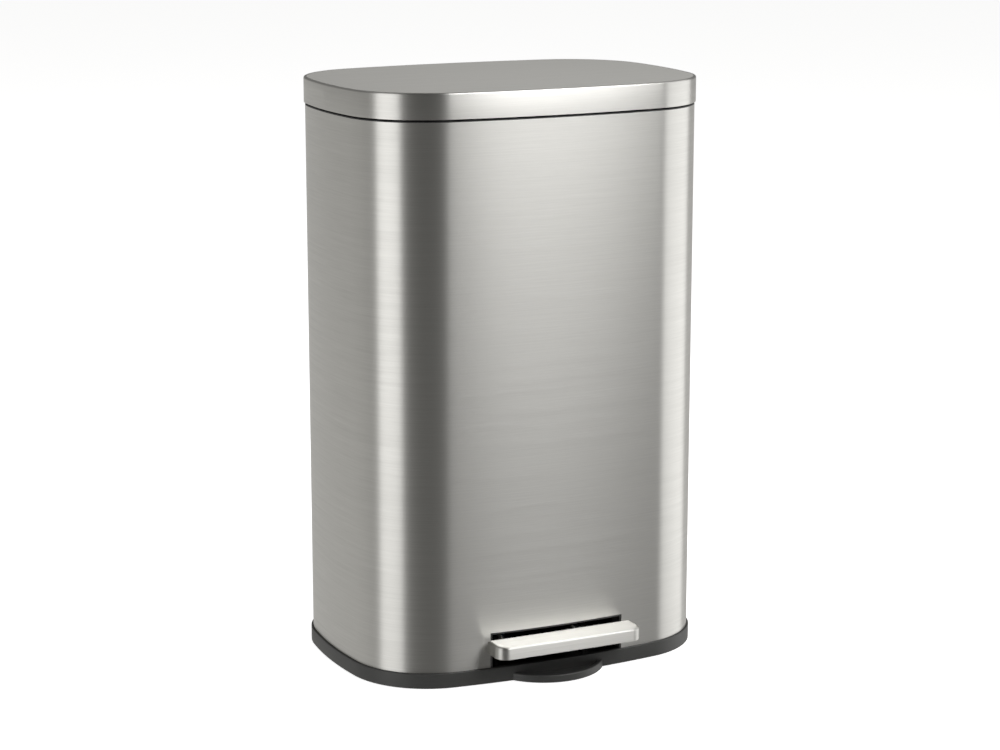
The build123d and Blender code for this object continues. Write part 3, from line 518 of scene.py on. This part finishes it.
bmesh.ops.bisect_plane(
    crescent_bm, geom=crescent_bm.verts[:] + crescent_bm.edges[:] + crescent_bm.faces[:], dist=cut_snap,
    plane_co=(0, lid_low.y + tongue_cut, 0), plane_no=(0, 1, 0), clear_outer=True,
)
bmesh.ops.holes_fill(crescent_bm, edges=crescent_bm.edges, sides=0)
bmesh.ops.recalc_face_normals(crescent_bm, faces=crescent_bm.faces)
crescent_mesh = bpy.data.meshes.new("crescent")
crescent_bm.to_mesh(crescent_mesh)
crescent_bm.free()
base_bm.from_mesh(crescent_mesh)
bpy.data.meshes.remove(crescent_mesh)
add_piece("base_band", base_bm, "can", base_plastic, ["base_ring"])

# ---- Plastic, rubber and nylon pieces that keep their shape ----
# The floor and the slot's liner are the base band's ABS. The rim, liner, covers, pedal core and damper
# bracket are black moulded polypropylene, and the bucket a smoother grey one. The feet and bumpers are
# rubber, the rod's guides and the lever's bushes nylon.


def give_finish(material, *nodes):
    """Gives a finish to pieces whose shape stays as it is."""
    for node in nodes:
        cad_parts[node].material_slots[0].material = material


black_plastic = moulded_plastic(
    "moulded_black_polypropylene", "#171717", "#1e1e1e",
    roughness=0.5, texture_size=0.8 * mm, bump_strength=0.3,
)
bucket_plastic = moulded_plastic(
    "moulded_grey_polypropylene", "#4a4b4c", "#56575a",
    roughness=0.42, texture_size=1.2 * mm, bump_strength=0.15,
)
rubber = moulded_plastic(
    "moulded_rubber", "#1a1a1a", "#232323", roughness=0.8, texture_size=0.6 * mm, bump_strength=0.4
)
nylon = moulded_plastic(
    "moulded_nylon", "#d9d6cc", "#e4e1d8", roughness=0.4, texture_size=1.0 * mm, bump_strength=0.1
)
give_finish(base_plastic, "base_floor", "pedal_slot_liner")
give_finish(
    black_plastic,
    "top_rim", "lid_liner", "hinge_cover", "mechanism_cover", "pedal_core", "damper_bracket",
)
give_finish(bucket_plastic, "inner_bucket")
give_finish(rubber, "rubber_feet", "lid_bumpers")
give_finish(nylon, "rod_guides", "lever_bushes")

# ---- Steel pieces that keep their shape ----
# The hinge bracket, its arm, the pedal's lever and the damper's tube are cut from sheet or tube and zinc
# plated. Pins, rods, screws and clips are drawn wire with a brighter plating.


def zinc_plate(name, dark, light, roughness, spangle):
    """Zinc plating: a bright grey skin whose crystals turn the sheen a little from patch to patch.

    The real crystals are under 1 mm across, too fine to show: they are drawn at the spangle's size.
    """
    cloud_size = 12 * mm
    material = new_material(name)
    tree = material.node_tree
    place = add_node(tree, "TexCoord")
    crystals = add_node(tree, "TexVoronoi", {"Vector": place.outputs["Object"]}, {"Scale": 1 / spangle})
    cloud = add_node(
        tree, "TexNoise", {"Vector": place.outputs["Object"]}, {"Scale": 1 / cloud_size, "Detail": 4.0}
    )
    colour = add_node(tree, "ValToRGB", {"Fac": cloud.outputs[0]})
    colour.color_ramp.elements[0].position = 0.35
    colour.color_ramp.elements[1].position = 0.65
    colour.color_ramp.elements[0].color = linear(dark)
    colour.color_ramp.elements[1].color = linear(light)
    gloss = add_node(
        tree, "MapRange", {"Value": crystals.outputs["Distance"]},
        {"To Min": roughness - 0.06, "To Max": roughness + 0.08},
    )
    bump = add_node(
        tree, "Bump", {"Height": cloud.outputs[0]}, {"Strength": 0.1, "Distance": 0.05 * mm}
    )
    shader = add_node(
        tree, "BsdfPrincipled",
        {"Base Color": colour.outputs[0], "Roughness": gloss.outputs[0], "Normal": bump.outputs[0]},
        {"Metallic": 1.0},
    )
    add_node(tree, "OutputMaterial", {"Surface": shader.outputs[0]})
    return material


zinc = zinc_plate("zinc_plated_sheet", "#a7abb0", "#bcc0c4", roughness=0.34, spangle=3 * mm)
bright_steel = zinc_plate("bright_plated_wire", "#b4b7ba", "#c8cacc", roughness=0.24, spangle=2 * mm)
give_finish(zinc, "pedal_lever", "hinge_bracket", "hinge_arm", "damper_cylinder")
give_finish(
    bright_steel,
    "base_screws", "pedal_screws", "lid_screws", "hinge_cover_screws", "hinge_bracket_rivets",
    "pivot_pin", "pivot_pin_clips", "hinge_pin", "hinge_pin_clips",
    "push_rod", "rod_nuts", "rod_clip", "damper_rod", "damper_nuts",
)
